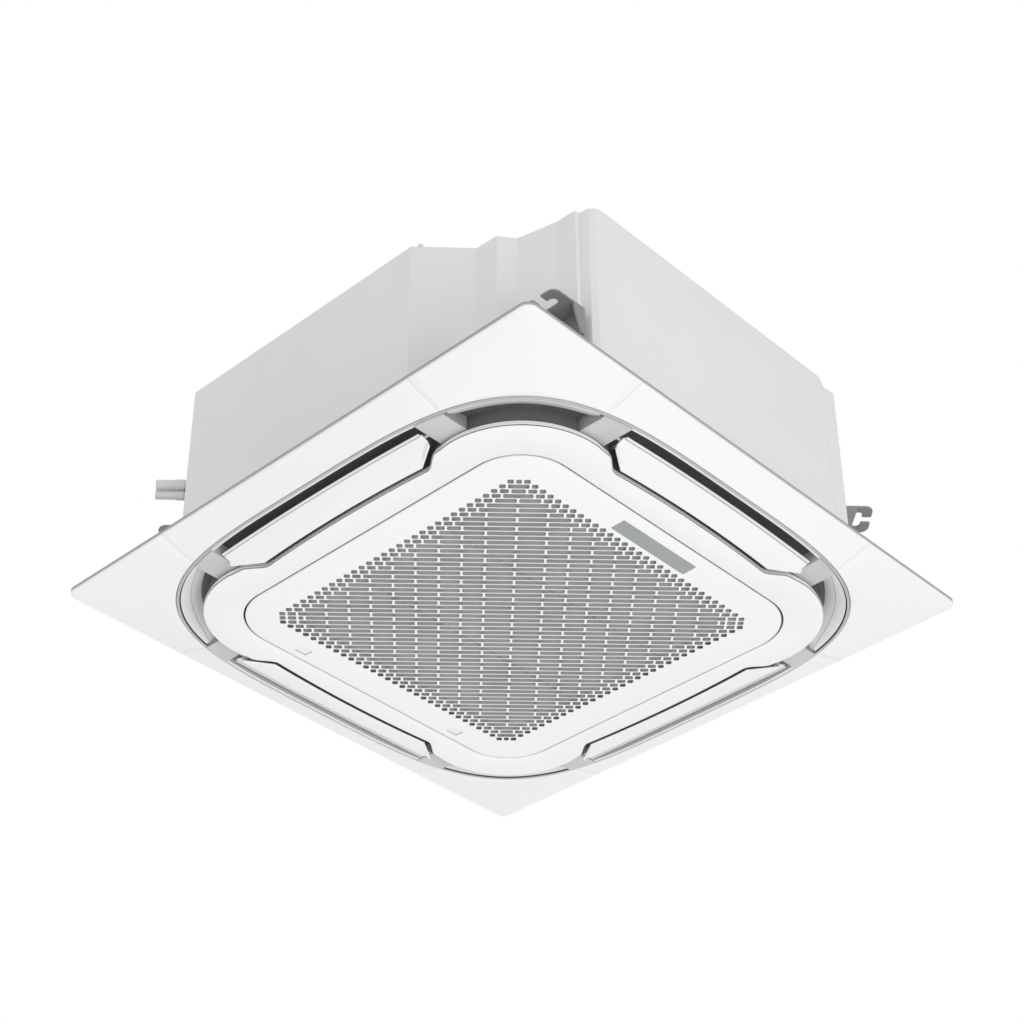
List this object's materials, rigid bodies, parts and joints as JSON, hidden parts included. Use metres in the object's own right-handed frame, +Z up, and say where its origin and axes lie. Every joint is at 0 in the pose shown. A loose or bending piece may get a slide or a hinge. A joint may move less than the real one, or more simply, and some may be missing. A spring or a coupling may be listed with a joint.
{
  "type": "ceiling cassette air conditioner",
  "caption": "Ceiling cassette indoor unit: steel casing over a square panel with a slotted suction grille that swings down and an air flap on each side.",
  "frame": {"origin": "centre of the four hanger pockets, on the underside of the hanger plates", "axes": "+Z up towards the lid, +X across the wide side of the casing, +Y away from the stepped corner"},
  "size_m": [0.95, 0.95, 0.3718],
  "materials": {
    "casing_steel": "satin",
    "foam": "matt",
    "bracket_steel": "matt",
    "fin_aluminium": "satin",
    "bare_steel": "satin",
    "copper": "satin",
    "pipe_metal": "satin",
    "black_rubber": "matt",
    "pan_foam": "matt",
    "white_inner_plastic": "matt",
    "motor_grey": "satin",
    "float_orange": "matt",
    "fan_plastic": "satin",
    "board_green": "satin",
    "terminal_black": "matt",
    "panel_white": "satin",
    "frame_white": "satin",
    "grille_white": "satin",
    "latch_white": "satin",
    "flap_white": "satin",
    "duct_grey": "matt",
    "filter_grey": "matt",
    "badge_grey": "satin"
  },
  "bodies": {
    "unit": {"casing_shell": "casing_steel", "top_plate": "casing_steel", "casing_insulation": "foam", "hanger_bracket_1": "bracket_steel", "hanger_bracket_2": "bracket_steel", "hanger_bracket_3": "bracket_steel", "hanger_bracket_4": "bracket_steel", "exchanger_fins": "fin_aluminium", "exchanger_tubes": "copper", "exchanger_end_plates": "bare_steel", "gas_pipe": "pipe_metal", "liquid_pipe": "pipe_metal", "pipe_cover_plate": "casing_steel", "pipe_grommet": "black_rubber", "drain_pan": "pan_foam", "drain_plug": "black_rubber", "drain_pump_housing": "white_inner_plastic", "drain_pump_motor": "motor_grey", "drain_hose": "black_rubber", "drain_socket": "white_inner_plastic", "float_stem": "white_inner_plastic", "fan_motor": "motor_grey", "motor_bracket": "bare_steel", "rubber_mounts": "black_rubber", "bell_mouth": "white_inner_plastic", "control_box": "bare_steel", "control_box_cover": "bare_steel", "circuit_board": "board_green", "terminal_block": "terminal_black", "panel_frame": "panel_white", "corner_cover_1": "panel_white", "corner_cover_2": "panel_white", "corner_cover_3": "panel_white", "corner_cover_4": "panel_white", "outlet_duct": "duct_grey", "inner_frame": "frame_white", "hinge_pins": "bare_steel", "swing_motor_1": "motor_grey", "swing_motor_2": "motor_grey", "swing_motor_3": "motor_grey", "swing_motor_4": "motor_grey", "panel_gasket": "black_rubber", "panel_screws": "bare_steel", "casing_screws": "bare_steel"},
    "grille": {"suction_grille": "grille_white", "filter_frame": "filter_grey", "filter_mesh": "filter_grey", "blank_badge": "badge_grey"},
    "latch_left": {"grille_latch_1": "latch_white"},
    "latch_right": {"grille_latch_2": "latch_white"},
    "flap_1_body": {"flap_1": "flap_white"},
    "flap_2_body": {"flap_2": "flap_white"},
    "flap_3_body": {"flap_3": "flap_white"},
    "flap_4_body": {"flap_4": "flap_white"},
    "fan_wheel": {"turbo_fan": "fan_plastic", "fan_shaft": "bare_steel", "fan_nut": "bare_steel"},
    "pump_impeller": {"drain_pump_impeller": "white_inner_plastic"},
    "float_body": {"float": "float_orange"}
  },
  "joints": [
    {"name": "flap_1_tilt", "type": "hinge", "parent": "unit", "child": "flap_1_body", "pos_m": [0.387, 0, -0.15], "axis": [0, 1, 0], "range_deg": [0, 60]},
    {"name": "flap_2_tilt", "type": "hinge", "parent": "unit", "child": "flap_2_body", "pos_m": [0, 0.387, -0.15], "axis": [-1, 0, 0], "range_deg": [0, 60]},
    {"name": "flap_3_tilt", "type": "hinge", "parent": "unit", "child": "flap_3_body", "pos_m": [-0.387, 0, -0.15], "axis": [0, -1, 0], "range_deg": [0, 60]},
    {"name": "flap_4_tilt", "type": "hinge", "parent": "unit", "child": "flap_4_body", "pos_m": [0, -0.387, -0.15], "axis": [1, 0, 0], "range_deg": [0, 60]},
    {"name": "grille_swing", "type": "hinge", "parent": "unit", "child": "grille", "pos_m": [0.3195, 0, -0.1595], "axis": [0, -1, 0], "range_deg": [0, 90]},
    {"name": "latch_left_slide", "type": "slide", "parent": "grille", "child": "latch_left", "axis": [1, 0, 0], "range_m": [0, 0.007], "stiffness_N_per_m": 150, "springref_m": -0.003},
    {"name": "latch_right_slide", "type": "slide", "parent": "grille", "child": "latch_right", "axis": [1, 0, 0], "range_m": [0, 0.007], "stiffness_N_per_m": 150, "springref_m": -0.003},
    {"name": "fan_spin", "type": "hinge", "parent": "unit", "child": "fan_wheel", "pos_m": [0, 0, 0], "axis": [0, 0, 1], "continuous": true},
    {"name": "pump_spin", "type": "hinge", "parent": "unit", "child": "pump_impeller", "pos_m": [-0.307, 0.307, 0], "axis": [0, 0, 1], "continuous": true},
    {"name": "float_rise", "type": "slide", "parent": "unit", "child": "float_body", "axis": [0, 0, 1], "range_m": [0, 0.012]}
  ]
}
